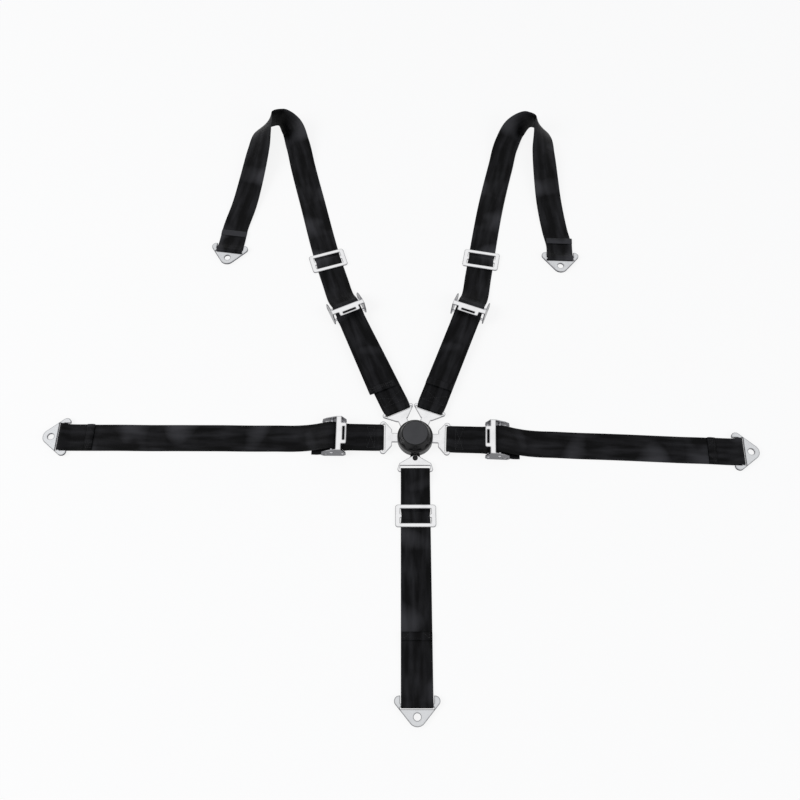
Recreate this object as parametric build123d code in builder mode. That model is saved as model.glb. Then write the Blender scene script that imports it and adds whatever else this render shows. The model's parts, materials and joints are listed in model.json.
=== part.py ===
from build123d import *
from math import cos, radians, sin
import os

os.makedirs("parts", exist_ok=True)

# Five-point cam-lock racing harness, laid out flat. Millimetres, +Z up, +Y towards
# the shoulder straps. The origin is the centre of the buckle's back face.

# --- driving dimensions -----------------------------------------------------
webbing_width = 50.8
webbing_thick = 1.4
hinge_gap = 0.3  # between a bar's corners and the webbing folded round it
rod_fit = 0.05  # a rod in its cheek holes
running_gap = 0.3  # between buckle pieces that move past each other

# buckle
back_radius = 31.5
back_thick = 3.0
housing_top = 17.0
housing_wall = 3.0
post_radius = 4.0
knob_radius = 29.0
knob_top_radius = 23.5
knob_height = 11.0
cap_radius = 21.8
cap_thick = 2.0
latch_travel = 3.2
latch_plate_thick = 1.5
latch_turn = 45.0
latch_circle = 18.5
latch_pin_radius = 2.3
cam_radius = 8.5
ramp_radius = 12.0
ramp_foot_z = 6.5
ramp_fall_per_degree = latch_travel / latch_turn
follower_angles = (20, 140, 260)
follower_width = 3.0
follower_reach = 10.0  # half the angle that a follower covers, and a little more
screw_circle = 24.6
screw_radius = 1.5
screw_angles = (91, 225, 315)

# tongues, which enter the buckle one at each belt's angle
tongue_thick = 3.0
tongue_z = 6.0
tongue_neck = 17.0
tongue_nose_r = 14.0
tongue_nose = 10.4
tongue_head_r = 41.0
tongue_head_width = webbing_width + 11.2
tongue_corner = 5.5
tongue_slot = 3.5
tongue_slot_length = webbing_width + 1.0
tongue_bar_r = {"lap": 59.6, "shoulder": 62.5}
shoulder_offset = 5.7  # the shoulder belts' lines pass this far outside the centre

# the flat bars that webbing is folded round
bar_width = 5.0
bar_slot = 6.5
bar_slot_length = webbing_width + 2.2

# tilt-lock adjusters
cheek_thick = 2.0
cheek_gap = webbing_width + 10.2
cheek_slot = (9.0, 4.5)
cheek_slot_z = 8.0
adjuster_height = 28.0
adjuster_back = 15.0  # the frame reaches this far each way from its middle
adjuster_front = 29.0
plate_back = 7.0
plate_front = 2.0
anchor_bar_radius = 2.5
anchor_bar_back = 9.5
anchor_bar_z = 10.0
lock_bar_radius = 3.2
lock_bar_ahead = 10.0
lock_bar_z = 15.0
tab_width = 40.0
tab_length = 9.0
tab_window = (4.0, 26.0)

# anchor plates
anchor_thick = 3.0
anchor_hole_radius = 5.75
anchor_hole_out = 17.0
anchor_slot = 3.2
anchor_ear_centre = 6.5  # how far in from the bar the two ears are centred
anchor_nose_radius = 14.5
anchor_corner_radius = 8.0
anchor_width = webbing_width + 21.2

# three-bar slides
slide_width = webbing_width + 19.2
slide_length = 40.0
slide_thick = 2.2
slide_bar = 7.0
slide_window = webbing_width + 2.2

# crotch belt
lug_width = 17.0
rivet_radius = 3.0
rivet_y = -38.0
link_thick = 3.0
link_bar_y = -61.0
link_head = 9.5
link_corner = 5.0
link_shoulder = webbing_width / 2 + 0.6
crotch_slide_y = -143.0
crotch_bar_y = -450.4

edge_break = 0.5  # on the upper edges of pressed plates

# --- worked out from them ---------------------------------------------------
bar_reach = ((bar_width / 2) ** 2 + (tongue_thick / 2) ** 2) ** 0.5
bar_eye = bar_reach + hinge_gap  # inside radius of webbing round a flat bar
floor_z = bar_eye + webbing_thick  # height of an anchor plate's bar
anchor_bar_eye = anchor_bar_radius + hinge_gap
lock_bar_eye = lock_bar_radius + hinge_gap
bar_z = tongue_z + tongue_thick / 2
knob_bottom = housing_top + running_gap
latch_plate_z = tongue_z + tongue_thick + latch_travel + 0.4


def along(angle, out, across=0.0, z=0.0):
    """A place out along a direction, and to its left."""
    a = radians(angle)
    return (out * cos(a) - across * sin(a), out * sin(a) + across * cos(a), z)


def belt_plane(angle, z=0.0, across=0.0):
    """The plane of a belt: X runs out from the buckle, Y across, Z up."""
    return Plane(origin=along(angle, 0, across, z), x_dir=along(angle, 1), z_dir=(0, 0, 1))


def side_plane(angle, origin=(0, 0, 0)):
    """The upright plane along a belt: X runs out from the buckle, Y is up."""
    return Plane(origin=origin, x_dir=along(angle, 1), z_dir=along(angle, 0, -1))


def save(builder, name):
    builder.part.label = name
    export_step(builder.part, f"parts/{name}.step")


# --- the buckle -------------------------------------------------------------
belts = {"lap_left": 179.7, "lap_right": -2.5, "shoulder_left": 114.6, "shoulder_right": 69.3}
offsets = {
    "lap_left": 0.0,
    "lap_right": 0.0,
    "shoulder_left": shoulder_offset,
    "shoulder_right": -shoulder_offset,
}
latch_places = [along(angle, latch_circle, offsets[name]) for name, angle in belts.items()]

with BuildPart() as back_plate:
    with BuildSketch(Plane.XY):
        Circle(back_radius)
        with Locations((0, rivet_y / 2)):
            Rectangle(lug_width, -rivet_y)
        with Locations((0, rivet_y)):
            Circle(lug_width / 2)
    extrude(amount=back_thick)
    with BuildSketch(Plane.XY):
        Circle(post_radius + 2 + rod_fit)
    extrude(amount=1.5, mode=Mode.SUBTRACT)
    with BuildSketch(Plane.XY):
        Circle(post_radius + rod_fit)
        for angle in screw_angles:
            with PolarLocations(screw_circle, 1, start_angle=angle):
                Circle(screw_radius + rod_fit)
        with Locations((0, rivet_y)):
            Circle(rivet_radius + rod_fit)
    extrude(amount=back_thick, mode=Mode.SUBTRACT)
    with BuildSketch(Plane.XY):
        for angle in screw_angles:
            with PolarLocations(screw_circle, 1, start_angle=angle):
                Circle(screw_radius * 2)
        with Locations((0, rivet_y)):
            Circle(rivet_radius + 2)
    extrude(amount=1.4, mode=Mode.SUBTRACT)
save(back_plate, "buckle_back_plate")

with BuildPart() as housing:
    with BuildSketch(Plane.XY.offset(back_thick)):
        Circle(back_radius)
    extrude(amount=housing_top - back_thick)
    fillet(housing.edges().group_by(Axis.Z)[-1], 2.0)
    with BuildSketch(Plane.XY.offset(back_thick)):
        Circle(back_radius - housing_wall)
    extrude(amount=housing_top - back_thick - 2.0, mode=Mode.SUBTRACT)
    with BuildSketch(Plane.XY.offset(back_thick)):
        for angle in screw_angles:
            with PolarLocations(screw_circle, 1, start_angle=angle):
                Circle(4.0)
    extrude(amount=housing_top - back_thick - 1.0)
    with BuildSketch(Plane.XY.offset(back_thick)):
        for angle in screw_angles:
            with PolarLocations(screw_circle, 1, start_angle=angle):
                Circle(screw_radius + rod_fit)
    extrude(amount=8.0, mode=Mode.SUBTRACT)
    with BuildSketch(Plane.XY.offset(housing_top - 2.5)):
        Circle(9.5)
    extrude(amount=3.0, mode=Mode.SUBTRACT)
    for name, angle in belts.items():
        with BuildSketch(belt_plane(angle, tongue_z - running_gap, offsets[name])):
            with Locations((back_radius - 2, 0)):
                Rectangle(16, tongue_neck + 2 * running_gap)
        extrude(amount=tongue_thick + 2 * running_gap, mode=Mode.SUBTRACT)
save(housing, "buckle_housing")

with BuildPart() as screws:
    with BuildSketch(Plane.XY.offset(0.1)):
        for angle in screw_angles:
            with PolarLocations(screw_circle, 1, start_angle=angle):
                Circle(screw_radius * 2 - 0.2)
    extrude(amount=1.2)
    with BuildSketch(Plane.XY.offset(0.1)):
        for angle in screw_angles:
            with PolarLocations(screw_circle, 1, start_angle=angle):
                Circle(screw_radius)
    extrude(amount=10.0)
    with BuildSketch(Plane.XY.offset(0.1)):
        for angle in screw_angles:
            with PolarLocations(screw_circle, 1, start_angle=angle):
                RegularPolygon(screw_radius * 0.8, 6)
    extrude(amount=0.7, mode=Mode.SUBTRACT)
save(screws, "housing_screws")

with BuildPart() as post:
    with BuildSketch(Plane.XY):
        Circle(post_radius + 2)
    extrude(amount=1.4)
    with BuildSketch(Plane.XY):
        Circle(post_radius)
    extrude(amount=knob_bottom + knob_height - 1.3)
    with BuildSketch(Plane.XY.offset(knob_bottom + knob_height - 2.9)):
        Circle(post_radius)
        Circle(post_radius - 0.8, mode=Mode.SUBTRACT)
    extrude(amount=1.0, mode=Mode.SUBTRACT)
save(post, "centre_post")

with BuildPart() as circlip:
    with BuildSketch(Plane.XY.offset(knob_bottom + knob_height - 2.8)):
        Circle(post_radius + 1.8)
        Circle(post_radius - 0.7, mode=Mode.SUBTRACT)
        with Locations((post_radius + 1, 0)):
            Rectangle(4, 3, mode=Mode.SUBTRACT)
    extrude(amount=0.8)
save(circlip, "knob_circlip")

with BuildPart() as knob:
    with BuildSketch(Plane.XY.offset(knob_bottom)):
        Circle(knob_radius)
    with BuildSketch(Plane.XY.offset(knob_bottom + knob_height)):
        Circle(knob_top_radius)
    loft()
    with BuildSketch(Plane.XY.offset(knob_bottom)):
        with PolarLocations(knob_radius + 5.5, 12, start_angle=15):
            Circle(7.5)
    extrude(amount=knob_height - 2.5, mode=Mode.SUBTRACT)
    with BuildSketch(Plane.XY.offset(knob_bottom)):
        Circle(knob_top_radius - 2.5)
    extrude(amount=knob_height - 5.0, mode=Mode.SUBTRACT)
    with BuildSketch(Plane.XY.offset(knob_bottom)):
        Circle(post_radius + 0.1)
    extrude(amount=knob_height, mode=Mode.SUBTRACT)
    with BuildSketch(Plane.XY.offset(knob_bottom + knob_height - 3.0)):
        Circle(post_radius + 2.5)
    extrude(amount=3.0, mode=Mode.SUBTRACT)
save(knob, "release_knob")

with BuildPart() as cap:
    with BuildSketch(Plane.XY.offset(knob_bottom + knob_height)):
        Circle(cap_radius)
    extrude(amount=cap_thick)
    chamfer(cap.edges().group_by(Axis.Z)[-1], 0.8)
save(cap, "knob_cap")

# The cam sleeve turns with the knob. A spiral ramp under each of the latch plate's
# three followers lets the plate down as the knob turns from rest to locked.
with BuildPart() as cam:
    with BuildSketch(Plane.XY.offset(ramp_foot_z)):
        Circle(ramp_radius)
    extrude(amount=1.0)
    with BuildSketch(Plane.XY.offset(ramp_foot_z)):
        Circle(cam_radius)
    extrude(amount=knob_bottom + knob_height - 5.0 - ramp_foot_z)
    for angle in follower_angles:
        sections = []
        ramp_turn = latch_turn + 2 * follower_reach
        for turned in (0, ramp_turn / 4, ramp_turn / 2, ramp_turn * 3 / 4, ramp_turn):
            ramp_z = latch_plate_z - running_gap - ramp_fall_per_degree * turned
            radial = angle - follower_reach + turned
            with BuildSketch(side_plane(radial)) as section:
                with Locations(((cam_radius + ramp_radius) / 2 - 0.3, (ramp_foot_z + ramp_z) / 2)):
                    Rectangle(ramp_radius - cam_radius + 0.4, ramp_z - ramp_foot_z)
            sections.append(section.sketch.faces()[0])
        loft(sections)
    with BuildSketch(Plane.XY.offset(ramp_foot_z)):
        Circle(post_radius + 0.1)
    extrude(amount=knob_height + 12, mode=Mode.SUBTRACT)
save(cam, "release_cam")

with BuildPart() as latch_plate:
    follower_tip = cam_radius + running_gap
    follower_root = ramp_radius + 2
    with BuildSketch(Plane.XY.offset(latch_plate_z)):
        Circle(latch_circle + latch_pin_radius + 1)
        Circle(ramp_radius + 2 * running_gap, mode=Mode.SUBTRACT)
        for angle in screw_angles:
            with PolarLocations(screw_circle, 1, start_angle=angle):
                Circle(4.6, mode=Mode.SUBTRACT)
        for angle in follower_angles:
            with PolarLocations((follower_tip + follower_root) / 2, 1, start_angle=angle):
                Rectangle(follower_root - follower_tip, follower_width)
    extrude(amount=latch_plate_thick)
    with BuildSketch(Plane.XY.offset(latch_plate_z)):
        with Locations(*latch_places):
            Circle(latch_pin_radius - 0.8)
    extrude(amount=latch_plate_thick, mode=Mode.SUBTRACT)
save(latch_plate, "latch_plate")

with BuildPart() as latch_pins:
    with BuildSketch(Plane.XY.offset(latch_plate_z - latch_travel + 0.2)):
        with Locations(*latch_places):
            Circle(latch_pin_radius)
    extrude(amount=latch_travel - 0.2)
    with BuildSketch(Plane.XY.offset(latch_plate_z)):
        with Locations(*latch_places):
            Circle(latch_pin_radius - 0.85)
    extrude(amount=latch_plate_thick)
save(latch_pins, "latch_pins")

with BuildPart() as spring:
    for turn in range(3):
        with BuildSketch(Plane.XZ):
            with Locations((14.0, knob_bottom + 1.0 + 1.5 * turn)):
                Circle(0.6)
        revolve(axis=Axis.Z, revolution_arc=350)
save(spring, "knob_return_springs")

# --- the crotch belt's link, riveted to the lug so that it swivels -----------
link_z = back_thick + running_gap
with BuildPart() as crotch_link:
    with BuildSketch(Plane.XY.offset(link_z)):
        with Locations((0, rivet_y)):
            Circle(lug_width / 2 - 2.3)
        corner_x = tongue_head_width / 2 - link_corner
        corner_y = link_bar_y - bar_width / 2 + link_corner
        with Locations((-corner_x, corner_y), (corner_x, corner_y)):
            Circle(link_corner)
        with Locations((-link_shoulder, corner_y + link_head), (link_shoulder, corner_y + link_head)):
            Circle(2)
        make_hull()
        with Locations((0, rivet_y)):
            Circle(rivet_radius + 0.1, mode=Mode.SUBTRACT)
        with Locations((0, link_bar_y + (bar_width + bar_slot) / 2)):
            Rectangle(bar_slot_length, bar_slot, mode=Mode.SUBTRACT)
    extrude(amount=link_thick)
    chamfer(crotch_link.edges().group_by(Axis.Z)[-1], edge_break)
save(crotch_link, "crotch_link")

with BuildPart() as rivet:
    rivet_foot = Plane(origin=(0, rivet_y, 0.2))
    with BuildSketch(rivet_foot):
        Circle(rivet_radius + 1.8)
    extrude(amount=1.1)
    with BuildSketch(rivet_foot):
        Circle(rivet_radius)
    extrude(amount=link_z + link_thick + 0.2)
    with BuildSketch(rivet_foot.offset(link_z + link_thick)):
        Circle(rivet_radius + 1.6)
    extrude(amount=1.4)
    chamfer(rivet.edges().group_by(Axis.Z)[-1], 0.7)
save(rivet, "crotch_rivet")


# --- pieces that every belt has ---------------------------------------------
def band(plane, lower, thick=webbing_thick):
    """Webbing along a belt, from its lower line in the belt's upright plane."""
    with BuildSketch(plane) as profile:
        with BuildLine():
            Polyline(*lower, *[(x, z + thick) for x, z in reversed(lower)], close=True)
        make_face()
    extrude(profile.sketch, amount=webbing_width / 2, both=True, clean=False)


def anchor_plate(name, heading, origin):
    """A rounded triangle of sheet with a webbing slot, one bolt hole and two ears that
    reach back past the webbing's edges."""
    place = (origin[0], origin[1], floor_z - anchor_thick / 2)
    flat = Plane(origin=place, x_dir=along(heading, 1), z_dir=(0, 0, 1))
    with BuildPart() as plate:
        with BuildSketch(flat):
            ear = anchor_width / 2 - anchor_corner_radius
            with Locations((-anchor_ear_centre, -ear), (-anchor_ear_centre, ear)):
                Circle(anchor_corner_radius)
            with Locations((anchor_hole_out, 0)):
                Circle(anchor_nose_radius)
            make_hull()
            with Locations(((bar_width + anchor_slot) / 2, 0)):
                Rectangle(anchor_slot, bar_slot_length, mode=Mode.SUBTRACT)
            with Locations((-bar_width / 2 - anchor_width / 2, 0)):
                Rectangle(anchor_width, bar_slot_length, mode=Mode.SUBTRACT)
            with Locations((anchor_hole_out, 0)):
                Circle(anchor_hole_radius, mode=Mode.SUBTRACT)
        extrude(amount=anchor_thick)
        chamfer(plate.edges().group_by(Axis.Z)[-1], edge_break)
    save(plate, name)


def ring(plane, at, inside):
    """Webbing folded round a bar, as a short tube across the belt."""
    with BuildSketch(plane) as profile:
        with Locations(at):
            Circle(inside + webbing_thick)
            Circle(inside, mode=Mode.SUBTRACT)
    extrude(profile.sketch, amount=webbing_width / 2, both=True, clean=False)


def slide(name, plane):
    """A three-bar slide of bent sheet, lying over the webbing."""
    with BuildPart() as frame:
        with BuildSketch(plane):
            RectangleRounded(slide_length, slide_width, 5)
            window = (slide_length - 3 * slide_bar) / 2
            with Locations((-(window + slide_bar) / 2, 0), ((window + slide_bar) / 2, 0)):
                Rectangle(window, slide_window, mode=Mode.SUBTRACT)
        extrude(amount=slide_thick)
        chamfer(frame.edges().group_by(Axis.Z)[-1], edge_break)
    save(frame, name)


def tongue(name):
    """A plated tongue: a tapered nose with a latch hole, and a slotted head."""
    shoulder = name.startswith("shoulder")
    bar_r = tongue_bar_r[name.split("_")[0]]
    outer = bar_r + bar_width / 2
    with BuildPart() as blade:
        with BuildSketch(belt_plane(belts[name], tongue_z, offsets[name])):
            if shoulder:  # a head that spreads, so that the two clear each other
                with Locations((tongue_head_r + 3, -9), (tongue_head_r + 3, 9)):
                    Circle(3)
                corner = webbing_width / 2 - 0.1
                with Locations((outer - 4.2, -corner), (outer - 4.2, corner)):
                    Circle(4.2)
                make_hull()
            else:
                corner = tongue_head_width / 2 - tongue_corner
                neck_corner = webbing_width / 2 - 11.4
                with Locations((tongue_head_r + 4, -neck_corner), (tongue_head_r + 4, neck_corner)):
                    Circle(4)
                with Locations((outer - tongue_corner, -corner), (outer - tongue_corner, corner)):
                    Circle(tongue_corner)
                make_hull()
            nose, neck = tongue_nose / 2, tongue_neck / 2
            neck_r = back_radius - 9
            Polygon(
                (tongue_nose_r, -nose),
                (neck_r, -neck),
                (tongue_head_r + 2, -neck),
                (tongue_head_r + 2, neck),
                (neck_r, neck),
                (tongue_nose_r, nose),
                align=None,
            )
            with Locations((bar_r - (bar_width + tongue_slot) / 2, 0)):
                Rectangle(tongue_slot, tongue_slot_length, mode=Mode.SUBTRACT)
            with Locations((latch_circle, 0)):
                Circle(latch_pin_radius + 0.4, mode=Mode.SUBTRACT)
        extrude(amount=tongue_thick)
        chamfer(blade.edges().group_by(Axis.Z)[-1], edge_break / 2)
    save(blade, f"{name}_tongue")


def short_strap(name, at):
    """Doubled webbing from the tongue's bar to the adjuster's anchor bar."""
    bar_r, bar_at = tongue_bar_r[name.split("_")[0]], at - anchor_bar_back
    with BuildPart() as strap:
        plane = side_plane(belts[name], along(belts[name], 0, offsets[name]))
        ring(plane, (bar_r, bar_z), bar_eye)
        ring(plane, (bar_at, anchor_bar_z), anchor_bar_eye)
        start, end = bar_r + bar_eye + 0.2, bar_at - anchor_bar_eye - 0.2
        lower = [(start, bar_z - webbing_thick), (end, anchor_bar_z - webbing_thick)]
        band(plane, lower, 2 * webbing_thick)
    save(strap, f"{name}_short_strap")


def adjuster(name, at):
    """A tilt-lock adjuster: a folded frame, its anchor bar and its lock bar."""
    half, angle, offset = cheek_gap / 2, belts[name], offsets[name]
    bar_a = (at - anchor_bar_back, anchor_bar_z)
    bar_b = (at + lock_bar_ahead, lock_bar_z)
    back, front = at - adjuster_back, at + adjuster_front
    plate_start, plate_end = at - plate_back, at + plate_front
    with BuildPart() as frame:
        for side in (-1, 1):
            with BuildSketch(side_plane(angle, along(angle, 0, offset + side * half))):
                Polygon(
                    (back, 5.0),
                    (back + 5, 0.8),
                    (front - 5, 0.8),
                    (front, 5.0),
                    (front - 2, 15.0),
                    (front - 10, 21.0),
                    (plate_end, adjuster_height),
                    (plate_start, adjuster_height),
                    (back, 14.0),
                    align=None,
                )
                with Locations(bar_a):
                    Circle(anchor_bar_radius + rod_fit, mode=Mode.SUBTRACT)
                with Locations(bar_b):
                    Circle(lock_bar_radius + rod_fit, mode=Mode.SUBTRACT)
                with Locations((front - cheek_slot[0], cheek_slot_z)):
                    SlotOverall(*cheek_slot, mode=Mode.SUBTRACT)
            extrude(amount=-side * cheek_thick)
        with BuildSketch(belt_plane(angle, adjuster_height - cheek_thick, offset)):
            with Locations(((plate_start + plate_end) / 2, 0)):
                Rectangle(plate_end - plate_start, cheek_gap + 2 * cheek_thick)
            with Locations((plate_start - tab_length / 2 + 1, 0)):
                RectangleRounded(tab_length + 2, tab_width, 2.5)
            with Locations((plate_start - tab_length / 2 + 0.5, 0)):
                Rectangle(*tab_window, mode=Mode.SUBTRACT)
        extrude(amount=cheek_thick)
    save(frame, f"{name}_adjuster_frame")
    bars = {"anchor_bar": (bar_a, anchor_bar_radius), "lock_bar": (bar_b, lock_bar_radius)}
    for bar, (place, radius) in bars.items():
        with BuildPart() as rod:
            with BuildSketch(side_plane(angle, along(angle, 0, offset))):
                with Locations(place):
                    Circle(radius)
            extrude(amount=half + cheek_thick, both=True)
            chamfer(rod.edges().filter_by(GeomType.CIRCLE), edge_break)
        save(rod, f"{name}_{bar}")


def ribbon(stations, thick=webbing_thick):
    """Webbing lofted through flat sections: each is a place and a direction across."""
    sections = []
    for i, (place, across) in enumerate(stations):
        before, after = stations[max(i - 1, 0)][0], stations[min(i + 1, len(stations) - 1)][0]
        ahead = (Vector(*after) - Vector(*before)).normalized()
        across = Vector(*across)
        across = (across - ahead * across.dot(ahead)).normalized()
        with BuildSketch(Plane(origin=place, x_dir=across, z_dir=ahead)) as section:
            Rectangle(webbing_width, thick)
        sections.append(section.sketch.faces()[0])
    for first, second in zip(sections, sections[1:]):
        loft([first, second], ruled=True, clean=False)


# --- lap belts --------------------------------------------------------------
lap_adjuster = {"lap_left": 137.0, "lap_right": 139.0}
lap_end = {"lap_left": 630.0, "lap_right": 575.7}
lap_fall = 60.0  # how far out the webbing comes down to the floor
sewn_length = 57.0  # the fold sewn back at an anchor plate

for name, at in lap_adjuster.items():
    angle, end = belts[name], lap_end[name]
    plane = side_plane(angle)
    tongue(name)
    short_strap(name, at)
    adjuster(name, at)
    lock_at = at + lock_bar_ahead
    under_bar = lock_bar_z - lock_bar_eye - webbing_thick
    with BuildPart() as long_strap:
        ring(plane, (lock_at, lock_bar_z), lock_bar_eye)
        ring(plane, (end, floor_z), bar_eye)
        band(plane, [(lock_at, under_bar), (lock_at + lap_fall, webbing_thick), (end, 0)])
        sewn = end - bar_eye - sewn_length
        band(plane, [(sewn, 0), (end - bar_eye - 0.4, 0)], 2 * webbing_thick)
    save(long_strap, f"{name}_long_strap")
    with BuildPart() as tail:
        with BuildSketch(belt_plane(angle)):
            with Locations((lock_at + 31, -3)):
                Rectangle(34, webbing_width)
        extrude(amount=webbing_thick - 0.3)
    save(tail, f"{name}_pull_tail")
    anchor_plate(f"{name}_anchor_plate", angle, along(angle, end))

# --- shoulder belts ---------------------------------------------------------
shoulder_adjuster = {"shoulder_left": 291.0, "shoulder_right": 282.0}
low = webbing_thick / 2 + 0.2  # the middle of webbing that lies on the floor
# Each run's places and directions across: out from the adjuster, up over the
# raised turn, where the webbing stands on edge, and back down to its plate.
turns = {
    "shoulder_left": (
        ((-153.5, 336, low), (0.95, 0.31, 0)),
        ((-168, 382, low), (0.95, 0.30, 0)),
        ((-205, 524, low), (0.97, 0.25, 0)),
        ((-229, 618, 3), (0.97, 0.24, 0.05)),
        ((-243, 676, 9), (0.95, 0.2, 0.2)),
        ((-259, 718, 17), (0.8, 0.1, 0.5)),
        ((-279, 734, 25), (0.55, 0, 0.84)),
        ((-301, 724, 29), (0.6, 0.3, 0.74)),
        ((-313, 698, 30), (0.8, 0.1, 0.6)),
        ((-321, 650, 24), (0.95, -0.1, 0.3)),
        ((-331, 585, 14), (0.98, -0.17, 0.1)),
        ((-343, 518, 6), (0.98, -0.2, 0)),
        ((-358, 455, 1.5), (0.98, -0.2, 0)),
    ),
    "shoulder_right": (
        ((126, 345, low), (-0.98, 0.17, 0)),
        ((133, 384, low), (-0.98, 0.18, 0)),
        ((160, 524, low), (-0.98, 0.2, 0)),
        ((183, 618, 3), (-0.98, 0.2, 0.05)),
        ((198, 674, 9), (-0.95, 0.2, 0.2)),
        ((219, 712, 17), (-0.8, 0.1, 0.5)),
        ((246, 726, 25), (-0.55, 0, 0.84)),
        ((266, 712, 29), (-0.6, 0.3, 0.74)),
        ((272, 686, 29), (-0.8, 0.1, 0.6)),
        ((272, 640, 23), (-0.95, 0, 0.3)),
        ((274, 580, 13), (-1, 0.04, 0.1)),
        ((277, 518, 6), (-1, 0.06, 0)),
        ((284, 455, 1.5), (-1, 0.08, 0)),
    ),
}
shoulder_end = {
    "shoulder_left": ((-364.5, 404.7), -98.0),
    "shoulder_right": ((288.7, 385.4), -92.0),
}
slide_place = {"shoulder_left": (-168, 382, 107.5), "shoulder_right": (133, 384, 79.5)}
tail_end = 107.0

for name, at in shoulder_adjuster.items():
    angle = belts[name]
    plane = side_plane(angle, along(angle, 0, offsets[name]))
    tongue(name)
    short_strap(name, at)
    adjuster(name, at)
    lock_at = at + lock_bar_ahead
    (end_x, end_y), heading = shoulder_end[name]
    side = 1 if name.endswith("left") else -1
    under_bar = lock_bar_z - lock_bar_eye - low
    back_x, back_y, _ = along(heading, -20)
    finish_across = along(heading, 0, side)
    stations = [
        (along(angle, lock_at, offsets[name], under_bar), along(angle, 0, -side)),
        (along(angle, lock_at + 16, offsets[name], under_bar - 2.0), along(angle, 0, -side)),
        *turns[name],
        ((end_x + back_x, end_y + back_y, low), finish_across),
        ((end_x, end_y, low), finish_across),
    ]
    with BuildPart() as long_strap:
        ribbon(stations)
        ring(plane, (lock_at, lock_bar_z), lock_bar_eye)
        ring(side_plane(heading, (end_x, end_y, 0)), (0, floor_z), bar_eye)
    save(long_strap, f"{name}_long_strap")
    with BuildPart() as tail:
        over = lock_bar_z + lock_bar_eye
        on_strap = anchor_bar_z + webbing_thick + 0.6
        hidden = at - anchor_bar_back
        lower = [
            (tail_end, bar_z + webbing_thick + 0.8),
            (hidden - 40, on_strap),
            (hidden, anchor_bar_z + anchor_bar_eye + webbing_thick + 0.5),
            (lock_at - 2, over + webbing_thick + 0.3),
        ]
        band(plane, lower)
    save(tail, f"{name}_pull_tail")
    anchor_plate(f"{name}_anchor_plate", heading, (end_x, end_y))
    x, y, turn = slide_place[name]
    over_webbing = (x, y, webbing_thick + 0.5)
    slide(f"{name}_slide", Plane(origin=over_webbing, x_dir=along(turn, 1), z_dir=(0, 0, 1)))

# --- the crotch belt --------------------------------------------------------
crotch_angle = -90.0
link_bar_z = link_z + link_thick / 2
with BuildPart() as crotch_strap:
    plane = side_plane(crotch_angle)
    ring(plane, (-link_bar_y, link_bar_z), bar_eye)
    ring(plane, (-crotch_bar_y, floor_z), bar_eye)
    under_link = link_bar_z - bar_eye - webbing_thick
    band(plane, [(-link_bar_y, under_link), (-link_bar_y + 20, 0), (-crotch_bar_y, 0)])
save(crotch_strap, "crotch_strap")
over_webbing = (0, crotch_slide_y, webbing_thick + 0.5)
slide("crotch_slide", Plane(origin=over_webbing, x_dir=(0, -1, 0), z_dir=(0, 0, 1)))
anchor_plate("crotch_anchor_plate", crotch_angle, (0, crotch_bar_y))
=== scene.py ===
import bpy
import json
import numpy as np
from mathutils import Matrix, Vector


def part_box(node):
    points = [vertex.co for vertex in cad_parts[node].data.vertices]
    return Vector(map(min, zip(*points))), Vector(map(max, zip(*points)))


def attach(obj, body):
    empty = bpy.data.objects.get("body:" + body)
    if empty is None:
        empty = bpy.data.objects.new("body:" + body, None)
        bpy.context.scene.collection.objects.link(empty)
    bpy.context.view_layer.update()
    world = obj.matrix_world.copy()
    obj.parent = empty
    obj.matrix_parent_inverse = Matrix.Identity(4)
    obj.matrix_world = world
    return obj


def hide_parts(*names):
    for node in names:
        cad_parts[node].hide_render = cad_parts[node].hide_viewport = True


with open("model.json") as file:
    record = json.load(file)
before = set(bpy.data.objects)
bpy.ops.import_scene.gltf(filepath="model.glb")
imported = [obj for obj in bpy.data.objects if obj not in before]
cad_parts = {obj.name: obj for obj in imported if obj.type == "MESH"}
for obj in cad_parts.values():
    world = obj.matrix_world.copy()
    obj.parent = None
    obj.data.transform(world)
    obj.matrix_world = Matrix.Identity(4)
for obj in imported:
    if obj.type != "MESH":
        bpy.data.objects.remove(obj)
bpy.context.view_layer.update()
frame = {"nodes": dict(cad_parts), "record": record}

# ---------------------------------------------------------------- camera, light and floor
# The harness lies on a plain white floor between a large soft light on its left and a weaker
# one on its right, and is seen from the crotch belt's side, 26 degrees off straight down.
view_tilt = np.radians(26.0)
view_place = (-0.0267, -0.6158, 1.423)
view_lens_mm = 39.15
view_sensor_mm = 36.0

camera = bpy.data.objects.new("camera", bpy.data.cameras.new("camera"))
camera.data.lens = view_lens_mm
camera.data.sensor_width = view_sensor_mm
camera.location = view_place
camera.rotation_euler = (view_tilt, 0, 0)
bpy.context.collection.objects.link(camera)
bpy.context.scene.camera = camera
bpy.context.scene.view_settings.view_transform = "Standard"


def area_light(name, place, size, power, aim=(0, 0.1, 0)):
    """A square soft light at a place, turned to look at aim."""
    lamp = bpy.data.objects.new(name, bpy.data.lights.new(name, "AREA"))
    lamp.data.size, lamp.data.energy = size, power
    lamp.location = place
    look = np.array(aim, float) - np.array(place, float)
    lamp.rotation_euler = (
        np.arctan2(np.hypot(look[0], look[1]), -look[2]),
        0,
        np.arctan2(-look[0], look[1]),
    )
    bpy.context.collection.objects.link(lamp)


area_light("key", (-2.9, -0.5, 2.4), 2.0, 56)
area_light("fill", (2.6, -1.3, 2.0), 2.0, 24)


class Maths:
    """A shader socket with Python's operators, each of which adds one Math node."""

    def __init__(self, nodes, socket):
        self.nodes, self.socket = nodes, socket

    def _do(self, operation, *values):
        return self.nodes.add("ShaderNodeMath", {"operation": operation}, *values)[0]

    def __add__(self, other):
        return self._do("ADD", self, other)

    def __sub__(self, other):
        return self._do("SUBTRACT", self, other)

    def __mul__(self, other):
        return self._do("MULTIPLY", self, other)

    def __rsub__(self, other):
        return self._do("SUBTRACT", other, self)

    __radd__ = __add__
    __rmul__ = __mul__


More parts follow.
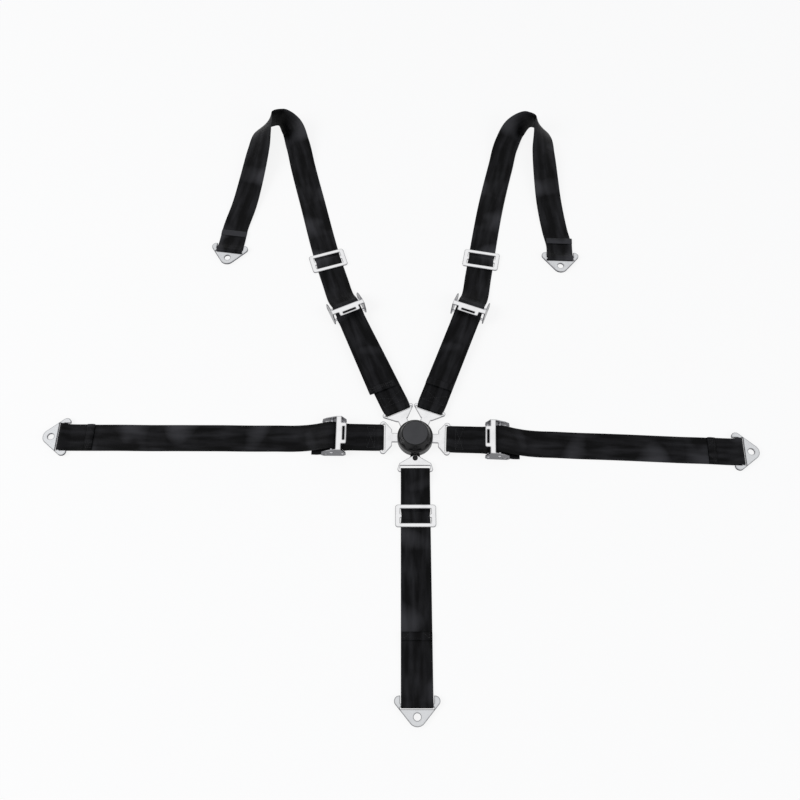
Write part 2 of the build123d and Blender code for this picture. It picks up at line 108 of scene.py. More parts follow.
class Finish:
    """A material, and one method that adds any node to it."""

    def __init__(self, name, **constants):
        self.material = bpy.data.materials.new(name)
        self.material.use_nodes = True
        self.tree = self.material.node_tree
        self.surface = self.tree.nodes["Principled BSDF"]
        for socket, value in constants.items():
            self.surface.inputs[socket.replace("_", " ")].default_value = value

    def add(self, kind, settings, *values, **named):
        """Add a node, set its settings first and then its sockets, and return its outputs.
        A setting called stops fills a colour ramp from (position, colour) pairs."""
        node = self.tree.nodes.new(kind)
        for key, value in settings.items():
            if key == "stops":
                ramp = node.color_ramp.elements
                for element, (place, colour) in zip(ramp, value):
                    element.position, element.color = place, (*colour, 1)
            else:
                setattr(node, key, value)
        for key, value in [*enumerate(values), *named.items()]:
            socket = node.inputs[key.replace("_", " ") if isinstance(key, str) else key]
            self.put(value, socket)
        return [Maths(self, output) for output in node.outputs]

    def put(self, value, socket):
        """Link a socket, or set it where the value is plain."""
        if isinstance(value, Maths):
            self.tree.links.new(value.socket, socket)
        else:
            socket.default_value = value

    def feed(self, socket, value):
        self.put(value, self.surface.inputs[socket])

    def bump(self, height, distance, strength):
        """Feed Normal from a Bump node."""
        out = self.add("ShaderNodeBump", {}, Strength=strength, Distance=distance, Height=height)
        self.feed("Normal", out[0])


floor_half, floor_z = 6.0, -0.0004
floor_glow = 0.85  # share of plain white that the camera and reflections see in the floor

floor_finish = Finish("floor_white", Base_Color=(0.9, 0.9, 0.9, 1), Roughness=0.9)
floor_finish.add("ShaderNodeLightPath", {})
path = floor_finish.tree.nodes["Light Path"].outputs
ray = [Maths(floor_finish, path[f"Is {kind} Ray"]) for kind in ("Camera", "Glossy", "Transmission")]
seen = floor_finish.add("ShaderNodeMath", {"operation": "MAXIMUM"}, ray[0], ray[1])[0]
seen = floor_finish.add("ShaderNodeMath", {"operation": "MAXIMUM"}, seen, ray[2])[0]
glow = floor_finish.add("ShaderNodeEmission", {}, Color=(1, 1, 1, 1), Strength=1.0)[0]
plain = Maths(floor_finish, floor_finish.surface.outputs[0])
mixed = floor_finish.add("ShaderNodeMixShader", {}, seen * floor_glow, plain, glow)[0]
floor_out = floor_finish.tree.nodes["Material Output"].inputs["Surface"]
floor_finish.tree.links.new(mixed.socket, floor_out)

floor_mesh = bpy.data.meshes.new("floor")
corner = np.array([(-1, -1), (1, -1), (1, 1), (-1, 1)]) * floor_half
floor_mesh.from_pydata([(x, y, floor_z) for x, y in corner], [], [(0, 1, 2, 3)])
floor_mesh.materials.append(floor_finish.material)
floor = bpy.data.objects.new("floor", floor_mesh)
bpy.context.collection.objects.link(floor)

world = bpy.data.worlds.new("studio")
world.use_nodes = True
bpy.context.scene.world = world
sky = world.node_tree.nodes
rays = sky.new("ShaderNodeLightPath")
either, any_of = sky.new("ShaderNodeMath"), sky.new("ShaderNodeMath")
either.operation = any_of.operation = "MAXIMUM"
soft, white = sky.new("ShaderNodeBackground"), sky.new("ShaderNodeBackground")
choose = sky.new("ShaderNodeMixShader")
soft.inputs["Color"].default_value = (0.93, 0.95, 1, 1)
soft.inputs["Strength"].default_value = 0.55
white.inputs["Strength"].default_value = 1.0
white.inputs["Color"].default_value = (1, 1, 1, 1)
for a, b in (
    (rays.outputs["Is Camera Ray"], either.inputs[0]),
    (rays.outputs["Is Glossy Ray"], either.inputs[1]),
    (either.outputs[0], any_of.inputs[0]),
    (rays.outputs["Is Transmission Ray"], any_of.inputs[1]),
    (any_of.outputs[0], choose.inputs[0]),
    (soft.outputs[0], choose.inputs[1]),
    (white.outputs[0], choose.inputs[2]),
    (choose.outputs[0], sky["World Output"].inputs[0]),
):
    world.node_tree.links.new(a, b)

# ---------------------------------------------------------------- where the belts run
# Every belt leaves the buckle along its draw-out joint's line. Its adjuster's two bars and
# its anchor plate's bar are the axes of the tilt, strap_follow and anchor_flop joints.
joints = {j["name"]: j for j in frame["record"]["behaviour"]["joints"]}
belts = ("lap_left", "lap_right", "shoulder_left", "shoulder_right")
out, foot, anchor_bar, lock_bar, end_bar = {}, {}, {}, {}, {}
for belt in belts:
    out[belt] = np.array(joints[f"{belt}_draw_out"]["axis"])
    anchor_bar[belt] = np.array(joints[f"{belt}_tilt"]["pos_m"])
    lock_bar[belt] = np.array(joints[f"{belt}_strap_follow"]["pos_m"])
    end_bar[belt] = np.array(joints[f"{belt}_anchor_flop"]["pos_m"])
    flat = anchor_bar[belt] * (1, 1, 0)
    foot[belt] = flat - out[belt] * flat.dot(out[belt])
up = np.array((0.0, 0.0, 1.0))

# ---------------------------------------------------------------- webbing
# Black polyester harness webbing, two inches wide and woven in a herringbone rib, with
# rounded selvedges. Each run is one length that goes round bars and through slots.
web_width = 0.0508
web_thick = 0.0014
web_step = 0.002
floor_rise = 0.0009  # the middle of webbing that lies flat
web_crown = 0.00012  # how much fuller a face is at its middle
selvedge_depth = 0.9  # a selvedge's half height, as a share of the webbing's
web_waves = ((0.00035, 0.043, 1.3), (0.00025, 0.017, 0.0))  # height, span, shift
wave_share = 0.6  # how much of a wave reaches the selvedges
calm_end, calm_fade = 0.15, 0.05  # no waves near the ends, where webbing goes round bars


def smooth(points, step=web_step):
    """Points every step along a cubic through the given ones: on each stretch the Hermite
    polynomial whose end slopes are the chord-weighted means of the chords on each side."""
    p = np.array(points, float)
    gap = np.linalg.norm(np.diff(p[:, :3], axis=0), axis=1)
    t = np.concatenate([[0], np.cumsum(gap)])
    chord = np.diff(p, axis=0) / gap[:, None]
    before, after = gap[:-1, None], gap[1:, None]
    inner = (after * chord[:-1] + before * chord[1:]) / (after + before)
    slope = np.vstack([chord[:1], inner, chord[-1:]])
    at = np.linspace(0, t[-1], max(int(t[-1] / step), 8) + 1)
    i = np.clip(np.searchsorted(t, at, side="right") - 1, 0, len(gap) - 1)
    h, x = gap[i, None], ((at - t[i]) / gap[i])[:, None]
    start = 2 * x**3 - 3 * x**2 + 1
    leaving, arriving = (x**3 - 2 * x**2 + x) * h, (x**3 - x**2) * h
    return start * p[i] + leaving * slope[i] + (1 - start) * p[i + 1] + arriving * slope[i + 1]


def frame_along(route):
    """A route's places, directions across and face normals, and its length at each place.
    Across is made square to the path, and the face normal is path cross across."""
    place, across = route[:, :3], route[:, 3:]
    ahead = np.gradient(place, axis=0)
    ahead /= np.linalg.norm(ahead, axis=1)[:, None]
    across = across - ahead * (across * ahead).sum(1)[:, None]
    across /= np.linalg.norm(across, axis=1)[:, None]
    gone = np.concatenate([[0], np.cumsum(np.linalg.norm(np.diff(place, axis=0), axis=1))])
    return place, across, np.cross(ahead, across), gone


def web_section():
    """The webbing's outline, as (across, up) pairs going round: two faces that are a little
    fuller at the middle, and half-round selvedges."""
    half, rim = web_width / 2, web_thick / 2
    x = np.linspace(half - rim, rim - half, 13)
    full = web_crown * (1 - (x / half) ** 4) + rim - web_crown
    turn = np.radians(np.arange(30, 180, 30))
    left = np.stack([rim - half - rim * np.sin(turn), rim * selvedge_depth * np.cos(turn)], 1)
    face = np.stack([x, full], 1)
    return np.concatenate([face, left, -face, -left])


def drawn_in(route, places, depth, reach):
    """How wide webbing is at each place, as a share of its width: one less a bell of the
    distance from the nearest of the places where a bar draws its edges in."""
    far = np.linalg.norm(route[:, None, :3] - np.array(places)[None], axis=2).min(1)
    return 1 - depth * np.exp(-((far / reach) ** 2))


def web_piece(name, route, closed=False, share=None):
    """Webbing carried along a route: every place gets the outline in its own across and
    normal directions, with its width times the share there. Sine waves cup it a little,
    by the square of the distance across. The weave attribute holds (length, across) in metres."""
    place, across, normal, gone = frame_along(route)
    share = np.ones(len(place)) if share is None else share
    if closed:
        place, across, normal, gone = place[:-1], across[:-1], normal[:-1], gone[:-1]
        share = share[:-1]
    outline = web_section()
    n, m = len(place), len(outline)
    wave = sum(height * np.sin(gone / span + shift) for height, span, shift in web_waves)
    wave *= np.clip((np.minimum(gone, gone[-1] - gone) - calm_end) / calm_fade, 0, 1)
    cup = wave[:, None] * ((outline[:, 0] / (web_width / 2)) ** 2)[None]
    points = (
        place[:, None]
        + (across * share[:, None])[:, None] * outline[None, :, :1]
        + normal[:, None] * (outline[None, :, 1] + cup * wave_share)[..., None]
    )
    i = np.arange(n if closed else n - 1)[:, None]
    j = np.arange(m)[None]
    i2, j2 = (i + 1) % n, (j + 1) % m
    faces = np.stack([i * m + j, i * m + j2, i2 * m + j2, i2 * m + j], -1).reshape(-1, 4)
    faces = faces.tolist()
    if not closed:
        faces += [list(range(m))[::-1], list(range((n - 1) * m, n * m))]
    mesh = bpy.data.meshes.new(name)
    mesh.from_pydata(points.reshape(-1, 3).tolist(), [], faces)
    mesh.polygons.foreach_set("use_smooth", [True] * len(mesh.polygons))
    weave = np.zeros((n, m, 3))
    weave[..., 0], weave[..., 1] = gone[:, None], outline[None, :, 0]
    layer = mesh.attributes.new("weave", "FLOAT_VECTOR", "POINT")
    layer.data.foreach_set("vector", weave.ravel().astype(np.float32))
    piece = bpy.data.objects.new(name, mesh)
    bpy.context.collection.objects.link(piece)
    mesh.materials.append(webbing.material)
    return piece


webbing = Finish("webbing_black", Specular_IOR_Level=0.06)
weave_at = webbing.add("ShaderNodeAttribute", {"attribute_name": "weave"})[1]
along_at, across_at, _ = webbing.add("ShaderNodeSeparateXYZ", {}, weave_at)
rib_pitch, pick_pitch, column = 0.0011, 0.0016, 0.0064
weave_depth = 0.00012
zigzag = webbing.add("ShaderNodeMath", {"operation": "PINGPONG"}, across_at, column)[0]
twill_turns = (along_at + zigzag) * (2 * np.pi / pick_pitch)
twill = webbing.add("ShaderNodeMath", {"operation": "SINE"}, twill_turns)[0]
rib = webbing.add("ShaderNodeMath", {"operation": "SINE"}, across_at * (2 * np.pi / rib_pitch))[0]
cloud = webbing.add("ShaderNodeTexNoise", {}, Vector=weave_at, Scale=22.0, Detail=3.0)[0]
# Painted sheen: lengthwise streaks and broad patches lighten the base colour where light would
# glance off the webbing; the cloud noise is the webbing's own uneven tone.
sheen_streaks_at = webbing.add("ShaderNodeCombineXYZ", {}, along_at * 11, across_at * 75, 0.0)[0]
sheen_streaks = webbing.add("ShaderNodeTexNoise", {}, Vector=sheen_streaks_at, Scale=1.0, Detail=3.0)[0]
sheen_patches_at = webbing.add("ShaderNodeCombineXYZ", {}, along_at * 13, across_at * 9, 4.0)[0]
sheen_patches = webbing.add("ShaderNodeTexNoise", {}, Vector=sheen_patches_at, Scale=1.0, Detail=1.0)[0]
painted_light_and_patches = webbing.add("ShaderNodeMapRange", {}, sheen_patches, 0.53, 0.70, 0.0, 0.8)[0]
tone_and_painted_sheen = sheen_streaks * 0.75 + cloud * 0.25 + twill * 0.035 + painted_light_and_patches
# The light end of this ramp is the painted sheen colour.
tones = [(0.44, (0.0014, 0.0014, 0.0017)), (1.0, (0.038, 0.038, 0.042))]
webbing.feed("Base Color", webbing.add("ShaderNodeValToRGB", {"stops": tones}, tone_and_painted_sheen)[0])
webbing.feed("Roughness", cloud * 0.3 + 0.24)
webbing.bump(twill * 0.5 + rib * 0.5, weave_depth, 0.55)


def arc(centre, across, ahead, radius, start, end, step=18.0):
    """Places on a circle about a bar, in the upright plane along ahead: the angle runs from
    start to end in degrees, 0 being ahead of the bar and 90 above it."""
    count = max(int(abs(end - start) / step), 2)
    a = np.radians(np.linspace(start, end, count + 1))[:, None]
    ring = centre + radius * (np.cos(a) * ahead + np.sin(a) * up)
    return [(*p, *across) for p in ring]


def line(foot_at, ahead, across, *pairs):
    """Places in the upright plane along ahead, from (distance, height) pairs."""
    return [(*(foot_at + ahead * d + up * z), *across) for d, z in pairs]


def sewn_end(bar, ahead, across, fold):
    """Webbing that comes in along the floor, goes round an anchor plate's bar and is sewn
    back on itself: a half turn of the bar's eye, a run down onto the strap, and a hem
    turned over at its end."""
    reach = bar[2] - floor_rise
    level, d = bar * (1, 1, 0), ahead
    return [
        *line(level, d, across, (-0.03, floor_rise), (-0.012, floor_rise)),
        *arc(bar, across, d, reach, -90, 90),
        *line(
            level, d, across, (-0.004, bar[2] + reach * 0.86), (-0.009, bar[2] + 0.0006),
            (-0.015, 0.0029), (-0.022, 0.0024), (-fold + 0.016, 0.0025), (-fold + 0.001, 0.0026),
            (-fold - 0.0004, 0.0034), (-fold + 0.001, 0.0042), (-fold + 0.013, 0.0041),
        ),
    ]


hump_top, hump_foot = 0.0035, 0.0108  # distances from a slide's middle bar
slide_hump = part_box("crotch_slide")[1][2] + web_thick / 2 + 0.0001


def over_slide(route, centre):
    """Webbing lifted over a slide's middle bar: the height added is a smooth step of the
    distance from the bar, full over it and none under the outer bars."""
    far = np.linalg.norm(route[:, :2] - np.array(centre)[:2], axis=1)
    t = np.clip((hump_foot - far) / (hump_foot - hump_top), 0, 1)
    lifted = route.copy()
    lifted[:, 2] += (slide_hump - route[:, 2]) * (t * t * (3 - 2 * t))
    return lifted


# ---------------------------------------------------------------- stitching
# Bonded black thread, run through both layers in a boxed zigzag at some of the folds round
# bars and at the shoulder tails' hems. Each stitch stands a little proud and dips at its ends.
thread = Finish("thread_black", Roughness=0.5, Specular_IOR_Level=0.25)
thread_at = thread.add("ShaderNodeTexCoord", {})[3]
grain = thread.add("ShaderNodeTexNoise", {}, Vector=thread_at, Scale=900.0, Detail=2.0)[0]
tones = [(0.2, (0.008, 0.008, 0.009)), (0.8, (0.02, 0.02, 0.022))]
thread.feed("Base Color", thread.add("ShaderNodeValToRGB", {"stops": tones}, grain)[0])
thread.bump(grain, 0.0001, 0.4)
stitch_length, stitch_radius = 0.0034, 0.00042
stitch_gap = 0.12  # the share of a stitch that is under the webbing at each end
stitch_lift = 0.00012


def stitches(name, body, route, boxes):
    """Sewn lines on a route's upper face. A line is run as stitches, and each stitch is a
    spindle: five rings whose radius is the sine of the way along it."""
    place, across, normal, gone = frame_along(route)
    starts, ends = [], []
    for low, high, inset in boxes:
        w = web_width / 2 - inset
        corners = [(low, -w), (high, -w), (high, w), (low, w), (low, -w), (high, w)]
        corners += [(high, -w), (low, w)]
        for (s0, a0), (s1, a1) in zip(corners, corners[1:]):
            count = max(int(np.hypot(s1 - s0, a1 - a0) / stitch_length), 1)
            cut = np.linspace(0, 1, count + 1)[:, None]
            run = np.array([s0, a0]) + cut * np.array([s1 - s0, a1 - a0])
            starts.append(run[:-1] * (1 - stitch_gap) + run[1:] * stitch_gap)
            ends.append(run[:-1] * stitch_gap + run[1:] * (1 - stitch_gap))
    both = []
    for pair in (np.concatenate(starts), np.concatenate(ends)):
        at = [np.interp(pair[:, 0], gone, c) for c in np.hstack([place, across, normal]).T]
        p, w, n = (np.stack(at[k : k + 3], 1) for k in (0, 3, 6))
        both.append((p + w * pair[:, 1:] + n * (web_thick / 2 + stitch_lift), n))
    (a, lift), (b, _) = both
    ahead = b - a
    side = np.cross(ahead / np.linalg.norm(ahead, axis=1)[:, None], lift)
    t = np.array([0.04, 0.25, 0.5, 0.75, 0.96])
    round_it = np.radians(np.arange(0, 360, 60))
    radius = stitch_radius * np.sin(np.pi * t) ** 0.6
    cos, sin = (f(round_it)[None, :, None, None] for f in (np.cos, np.sin))
    ring = cos * side + sin * lift
    points = a + t[:, None, None, None] * ahead + radius[:, None, None, None] * ring
    points = points.transpose(2, 0, 1, 3)
    n, r, c = points.shape[:3]
    i, j = np.arange(r - 1)[:, None], np.arange(c)[None]
    i2, j2 = i + 1, (j + 1) % c
    quads = np.stack([i * c + j, i2 * c + j, i2 * c + j2, i * c + j2], -1)
    first = quads.reshape(-1, 4)
    faces = (first[None] + (np.arange(n) * r * c)[:, None, None]).reshape(-1, 4).tolist()
    caps = np.arange(n)[:, None] * r * c
    faces += (caps + np.arange(c)[None]).tolist()
    faces += (caps + (r - 1) * c + np.arange(c)[None, ::-1]).tolist()
    mesh = bpy.data.meshes.new(name)
    mesh.from_pydata(points.reshape(-1, 3).tolist(), [], faces)
    mesh.polygons.foreach_set("use_smooth", [True] * len(mesh.polygons))
    mesh.materials.append(thread.material)
    piece = bpy.data.objects.new(name, mesh)
    bpy.context.collection.objects.link(piece)
    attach(piece, body)
    return piece


def belong(piece, body, route, rests_on, *nodes):
    """Webbing stands for its CAD solids and rides on their body."""
    length = frame_along(route)[3][-1]
    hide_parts(*nodes)
    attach(piece, body)


# ---------------------------------------------------------------- short straps
# A loop of webbing from each tongue's bar to its adjuster's anchor bar, laid flat on
# itself and sewn through near the tongue.
tongue_bar = {"lap": 0.0596, "shoulder": 0.0625}
tongue_z = 0.0075
tongue_eye, rod_eye = 0.0039, 0.0035
loop_leaves = [(0.009, 0.0011), (0.016, 0.00078)]  # how the loop closes up past each bar
loop_rise = 0.00075

for belt in belts:
    d = out[belt]
    across = np.cross(up, d)
    near = foot[belt] + d * tongue_bar[belt.split("_")[0]] + up * tongue_z
    far = anchor_bar[belt]
    run = far - near
    reach = np.linalg.norm(run)
    ahead = run / reach
    lift = np.cross(ahead, across)

    def beside(distance, height):
        return (*(near + ahead * distance + lift * height), *across)

    loop = [
        *arc(near, across, d, tongue_eye, 270, 90),
        *[beside(x, y) for x, y in loop_leaves],
        beside(reach / 2, loop_rise),
        *[beside(reach - x, y) for x, y in loop_leaves[::-1]],
        *arc(far, across, d, rod_eye, 90, -90),
        *[beside(reach - x, -y) for x, y in loop_leaves],
        beside(reach / 2, -loop_rise),
        *[beside(x, -y) for x, y in loop_leaves[::-1]],
    ]
    route = smooth(loop + loop[:1])
    share = drawn_in(route, [near - d * tongue_eye], 0.09, 0.009)
    strap = web_piece(f"{belt}_short_webbing", route, True, share)
    belong(strap, f"{belt}_tongue", route, [f"{belt}_tongue"], f"{belt}_short_strap")
    turn = np.pi * tongue_eye
    sewn = [(turn + 0.014, turn + 0.034, 0.005)]
    if belt.startswith("lap"):
        sewn = [(turn + 0.012, turn + 0.026, 0.005)]
    stitches(f"{belt}_short_stitching", f"{belt}_tongue", route, sewn)

# ---------------------------------------------------------------- lap belts
# One length from the pull tail, round the adjuster's lock bar and down to the floor, out to
# the anchor plate and back, where the fold is sewn in a long box.
lap_fold = 0.057
ripple_height, ripple_turn = 0.0009, 21.0

for belt in ("lap_left", "lap_right"):
    d = out[belt]
    across = np.cross(up, d)
    lock, end = lock_bar[belt], end_bar[belt]
    level = lock * (1, 1, 0)
    reach = np.linalg.norm(end[:2] - lock[:2])
    rest = np.linspace(0.10, reach - 0.06, 7)
    rise = floor_rise + ripple_height * np.sin(rest * ripple_turn) ** 2
    points = [
        *line(level + (0, -0.005, 0), d, across, (0.036, 0.0009), (0.022, 0.0010)),
        *line(level + (0, -0.002, 0), d, across, (0.008, 0.0062)),
        *line(
            level, d, across, (-0.001, 0.0100), (-0.0065, 0.0118), (-0.0083, 0.0150),
            (-0.0060, 0.0182), (-0.001, 0.0193), (0.005, 0.0190), (0.014, 0.0158),
            (0.028, 0.0098), (0.046, 0.0042), (0.066, 0.0014),
        ),
        *line(level, d, across, *zip(rest, rise)),
        *sewn_end(end, d, across, lap_fold),
    ]
    route = smooth(points)
    strap = web_piece(f"{belt}_webbing", route)
    solids = (f"{belt}_long_strap", f"{belt}_pull_tail")
    belong(strap, f"{belt}_strap", route, [f"{belt}_lock_bar"], *solids)
    total = frame_along(route)[3][-1]
    stitches(f"{belt}_stitching", f"{belt}_strap", route, [(total - 0.034, total - 0.003, 0.005)])

# ---------------------------------------------------------------- shoulder belts
# One length from the hemmed pull tail over the short strap, between the adjuster's two bars,
# through a slide and up to the top, where it turns over on edge and comes back down.
# Each turn is a place in metres, and the direction across the webbing there.
turns = {
    "shoulder_left": (
        (-0.1535, 0.336, 0.0012, 0.95, 0.31, 0),
        (-0.168, 0.382, 0.0009, 0.95, 0.30, 0),
        (-0.205, 0.524, 0.0009, 0.97, 0.25, 0),
        (-0.229, 0.618, 0.003, 0.97, 0.24, 0.05),
        (-0.243, 0.676, 0.009, 0.95, 0.2, 0.2),
        (-0.259, 0.718, 0.017, 0.8, 0.1, 0.5),
        (-0.279, 0.734, 0.025, 0.55, 0, 0.84),
        (-0.301, 0.724, 0.029, 0.6, 0.3, 0.74),
        (-0.313, 0.698, 0.030, 0.8, 0.1, 0.6),
        (-0.321, 0.650, 0.024, 0.95, -0.1, 0.3),
        (-0.331, 0.585, 0.014, 0.98, -0.17, 0.1),
        (-0.343, 0.518, 0.006, 0.98, -0.2, 0),
        (-0.358, 0.455, 0.0015, 0.98, -0.2, 0),
    ),
    "shoulder_right": (
        (0.126, 0.345, 0.0012, -0.98, 0.17, 0),
        (0.133, 0.384, 0.0009, -0.98, 0.18, 0),
        (0.160, 0.524, 0.0014, -0.98, 0.2, 0),
        (0.183, 0.618, 0.003, -0.98, 0.2, 0.05),
        (0.198, 0.674, 0.009, -0.95, 0.2, 0.2),
        (0.219, 0.712, 0.018, -0.8, 0.1, 0.5),
        (0.246, 0.726, 0.0268, -0.55, 0, 0.84),
        (0.266, 0.712, 0.029, -0.6, 0.3, 0.74),
        (0.272, 0.686, 0.029, -0.8, 0.1, 0.6),
        (0.272, 0.640, 0.023, -0.95, 0, 0.3),
        (0.274, 0.580, 0.013, -1, 0.04, 0.1),
        (0.277, 0.518, 0.006, -1, 0.06, 0),
        (0.284, 0.455, 0.0015, -1, 0.08, 0),
    ),
}
shoulder_fold = 0.05
tail_end = 0.108
tail_z = 0.0106
tail_swing = {"shoulder_left": 0.047, "shoulder_right": 0.0}  # how far askew each tail lies

for belt in ("shoulder_left", "shoulder_right"):
    d = out[belt]
    side = 1 if belt.endswith("left") else -1
    across = -side * np.cross(up, d)
    lock, rod, end = lock_bar[belt], anchor_bar[belt], end_bar[belt]
    lock_at, rod_at = lock.dot(d), rod.dot(d)
    start = foot[belt]
    hinge = np.array(joints[f"{belt}_anchor_flop"]["axis"])
    heading = np.cross(hinge, up) * -1
    swing = np.cross(up, d) * tail_swing[belt]
    tail = [
        (tail_end + 0.013, tail_z + 0.0016), (tail_end + 0.003, tail_z + 0.0016),
        (tail_end, tail_z + 0.0008), (tail_end + 0.003, tail_z), (tail_end + 0.02, tail_z),
        (rod_at - 0.06, 0.0120), (rod_at - 0.02, 0.0132), (rod_at - 0.002, 0.0153),
    ]
    lead = [(*(start + d * r + swing * (rod_at - r) + up * z), *across) for r, z in tail]
    lead += line(
        start, d, across,
        (rod_at + 0.007, 0.0158), (lock_at - 0.006, 0.0172), (lock_at - 0.002, 0.0191),
        (lock_at + 0.003, 0.0190), (lock_at + 0.008, 0.0160), (lock_at + 0.018, 0.0096),
    )
    finish_across = side * np.cross(up, heading)
    points = lead + list(turns[belt]) + sewn_end(end, heading, finish_across, shoulder_fold)
    route = smooth(points)
    low, high = (np.array(c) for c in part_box(f"{belt}_slide"))
    middle = (low + high) / 2
    route = over_slide(route, middle)
    strap = web_piece(f"{belt}_webbing", route, share=drawn_in(route, [middle], 0.05, 0.006))
    solids = (f"{belt}_long_strap", f"{belt}_pull_tail")
    belong(strap, f"{belt}_strap", route, [f"{belt}_lock_bar"], *solids)
    stitches(f"{belt}_stitching", f"{belt}_strap", route, [(0.003, 0.0095, 0.004)])

# ---------------------------------------------------------------- crotch belt
# From under the slide, round the buckle link's bar and back over the slide's middle bar,
# then down to its anchor plate, where a long fold is sewn back.
link_low, link_high = (np.array(c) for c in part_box("crotch_link"))
crotch_end = np.array(joints["crotch_anchor_flop"]["pos_m"])
south = np.array((0.0, -1.0, 0.0))
east = np.cross(up, south)
link_bar = np.array((0, link_low[1] + 0.0025, (link_low[2] + link_high[2]) / 2))
slide_low, slide_high = (np.array(c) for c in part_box("crotch_slide"))
slide_at = -(slide_low[1] + slide_high[1]) / 2
crotch_fold = 0.112
points = [
    *line(np.zeros(3), south, east, (-link_bar[1] + 0.060, 0.0008), (-link_bar[1] + 0.022, 0.0009)),
    *arc(link_bar, east, south, link_bar[2] - 0.0009, 280, 75),
    *line(
        np.zeros(3), south, east, (-link_bar[1] + 0.012, 0.0066), (-link_bar[1] + 0.026, 0.0028),
        (-link_bar[1] + 0.05, 0.0024), (slide_at - 0.022, 0.0011), (slide_at, 0.0010),
        (slide_at + 0.03, 0.0012), (slide_at + 0.12, 0.0011), (slide_at + 0.2, 0.0013),
    ),
    *sewn_end(crotch_end, south, east, crotch_fold),
]
middle = (slide_low + slide_high) / 2
route = over_slide(smooth(points), middle)
strap = web_piece("crotch_webbing", route, share=drawn_in(route, [middle], 0.05, 0.006))
belong(strap, "crotch", route, ["crotch_link"], "crotch_strap")
total = frame_along(route)[3][-1]
sewn = [(total - 0.04, total - 0.003, 0.005), (total - 0.088, total - 0.05, 0.005)]
stitches("crotch_stitching", "crotch", route, sewn)

# ---------------------------------------------------------------- plated hardware
# Pressed steel tongues, adjuster frames, slides and the crotch link, bright zinc plated:
# soft mirror steel with faint rolling marks and a little haze.
edge_shade_reach = 0.002  # how far in from an edge the colour is painted darker, as shade


def plating(name, face, edge, darkening, rough, spread, grain_size):
    """A plated finish. The colour goes from face to edge by a sum of painted shade, for how far
    the surface leans from level and how near an edge it is, and a patchy noise; fine grain roughens
    it."""
    finish = Finish(name, Metallic=1.0)
    stands = finish.add("ShaderNodeNewGeometry", {})[1]
    _, _, flatness = finish.add("ShaderNodeSeparateXYZ", {}, stands)
    level = finish.add("ShaderNodeMath", {"operation": "ABSOLUTE"}, flatness)[0]
    place = finish.add("ShaderNodeTexCoord", {})[3]
    patch = finish.add("ShaderNodeTexNoise", {}, Vector=place, Scale=60.0, Detail=4.0)[0]
    fine = finish.add("ShaderNodeTexNoise", {}, Vector=place, Scale=grain_size, Detail=2.0)[0]
    near_edge = finish.add(
        "ShaderNodeAmbientOcclusion", {"inside": True, "samples": 8}, Distance=edge_shade_reach
    )[1]
    # Painted shade: faces that lean from level and the rims of edges are coloured darker, as dim
    # light would leave them; the patchy noise is uneven tone.
    painted_light_and_patches = (1 - level) * darkening + (1 - near_edge) * 1.5 + (patch - 0.5) * 0.35
    tone = finish.add("ShaderNodeValToRGB", {"stops": [(0.0, face), (0.9, edge)]}, painted_light_and_patches)[0]
    finish.feed("Base Color", tone)
    finish.feed("Roughness", patch * spread + rough)
    finish.bump(patch * 0.6 + fine * 0.4, 0.00006, 0.35)
    return finish


bright = plating("bright_plate", (0.84, 0.84, 0.85), (0.13, 0.13, 0.14), 1.3, 0.14, 0.16, 1400.0)
satin = plating("satin_plate", (0.62, 0.63, 0.645), (0.07, 0.07, 0.08), 1.6, 0.28, 0.2, 1800.0)


def paint(node, finish):
    """Give a CAD node a finish, in every slot of its mesh."""
    slots = frame["nodes"][node].data.materials
    if not slots:
        slots.append(finish.material)
    for k in range(len(slots)):
        slots[k] = finish.material


for belt in belts:
    paint(f"{belt}_tongue", bright)
    paint(f"{belt}_adjuster_frame", bright)
    paint(f"{belt}_anchor_plate", satin)
    if belt.startswith("shoulder"):
        paint(f"{belt}_slide", bright)
paint("crotch_link", bright)
paint("crotch_slide", bright)
paint("crotch_anchor_plate", satin)

# ---------------------------------------------------------------- adjuster bars
# The anchor bars are plain ground rods. The lock bars are diamond knurled where the webbing
# is gripped, with plain turned ends in the cheeks.
steel = Finish("ground_steel", Metallic=1.0, Base_Color=(0.56, 0.56, 0.58, 1))
steel_at = steel.add("ShaderNodeTexCoord", {})[3]
rub = steel.add("ShaderNodeTexNoise", {}, Vector=steel_at, Scale=300.0, Detail=3.0)[0]
steel.feed("Roughness", rub * 0.2 + 0.2)
steel.bump(rub, 0.00004, 0.3)
knurl_depth, knurl_starts, knurl_pitch = 0.00022, 22, 0.0045
knurl_half, knurl_fade = 0.026, 0.002
lock_radius, lock_half, lock_chamfer = 0.0031, 0.0323, 0.0004


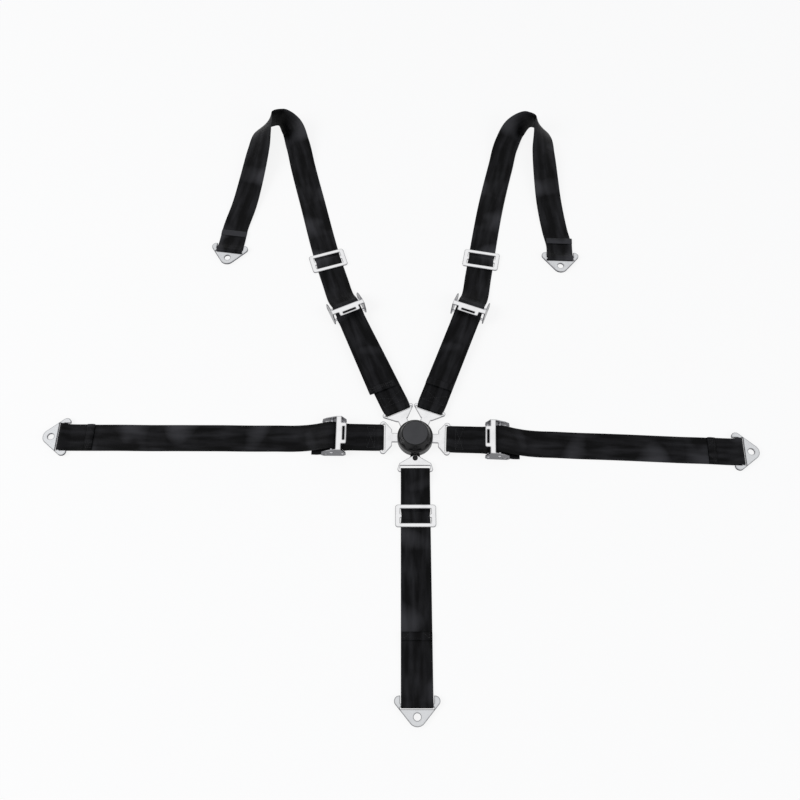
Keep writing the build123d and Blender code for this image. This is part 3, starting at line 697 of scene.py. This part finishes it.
def lock_bar_piece(name, centre, axis, ahead):
    """A knurled rod: radius is the plain radius less a depth that two crossed helices cut,
    faded out near the ends in a straight line; the ends close on a small chamfer."""
    t = np.linspace(-1, 1, 181)
    a = np.linspace(0, 2 * np.pi, 133)[:-1]
    grid, turn = np.meshgrid(t * lock_half, a, indexing="ij")
    around, onward = knurl_starts * turn / 2, grid * (2 * np.pi / knurl_pitch)
    cut = np.sin(around + onward) ** 2 * np.sin(around - onward) ** 2
    fade = np.clip((knurl_half - abs(grid)) / knurl_fade, 0, 1)
    r = lock_radius - knurl_depth * (1 - cut) * fade
    r = np.where(abs(grid) > lock_half - lock_chamfer, r - lock_chamfer, r)
    rise = np.cross(axis, ahead)
    ring = np.cos(turn)[..., None] * ahead + np.sin(turn)[..., None] * rise
    points = centre + grid[..., None] * axis + r[..., None] * ring
    n, m = turn.shape
    i, j = np.arange(n - 1)[:, None], np.arange(m)[None]
    i2, j2 = i + 1, (j + 1) % m
    quads = np.stack([i * m + j, i * m + j2, i2 * m + j2, i2 * m + j], -1)
    faces = quads.reshape(-1, 4).tolist()
    faces += [list(range(m))[::-1], list(range((n - 1) * m, n * m))]
    mesh = bpy.data.meshes.new(name)
    mesh.from_pydata(points.reshape(-1, 3).tolist(), [], faces)
    mesh.polygons.foreach_set("use_smooth", [True] * (len(faces) - 2) + [False] * 2)
    mesh.materials.append(steel.material)
    piece = bpy.data.objects.new(name, mesh)
    bpy.context.collection.objects.link(piece)
    return piece


for belt in belts:
    paint(f"{belt}_anchor_bar", steel)
    axis = np.cross(up, out[belt])
    bar = lock_bar_piece(f"{belt}_knurled_bar", lock_bar[belt], axis, out[belt] * -1)
    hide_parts(f"{belt}_lock_bar")
    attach(bar, f"{belt}_adjuster")

# ---------------------------------------------------------------- the buckle
# A black coated steel housing and knob with a flat matte grey cap let into its top. The
# coating is a fine orange peel, a little shinier where it is handled.
black = Finish(
    "buckle_black", Base_Color=(0.004, 0.004, 0.0045, 1), Specular_IOR_Level=0.2,
    Coat_Weight=0.12, Coat_Roughness=0.25,
)
spot = black.add("ShaderNodeTexCoord", {})[3]
peel = black.add("ShaderNodeTexNoise", {}, Vector=spot, Scale=900.0, Detail=2.0)[0]
wear = black.add("ShaderNodeTexNoise", {}, Vector=spot, Scale=70.0, Detail=4.0)[0]
black.feed("Roughness", wear * 0.18 + 0.28)
black.bump(peel, 0.00008, 0.35)

grey = Finish("knob_grey", Specular_IOR_Level=0.2)
spot = grey.add("ShaderNodeTexCoord", {})[3]
tooth = grey.add("ShaderNodeTexNoise", {}, Vector=spot, Scale=1500.0, Detail=2.0)[0]
cloudy = grey.add("ShaderNodeTexNoise", {}, Vector=spot, Scale=50.0, Detail=3.0)[0]
tones = [(0.3, (0.046, 0.046, 0.049)), (0.7, (0.056, 0.056, 0.059))]
grey.feed("Base Color", grey.add("ShaderNodeValToRGB", {"stops": tones}, cloudy)[0])
grey.feed("Roughness", tooth * 0.15 + 0.45)
grey.bump(tooth, 0.00007, 0.5)

for node in ("buckle_back_plate", "buckle_housing", "release_knob", "crotch_rivet"):
    paint(node, black)
paint("knob_cap", grey)
for node in (
    "centre_post", "housing_screws", "knob_circlip",
    "release_cam", "latch_plate", "latch_pins", "knob_return_springs",
):
    paint(node, steel)
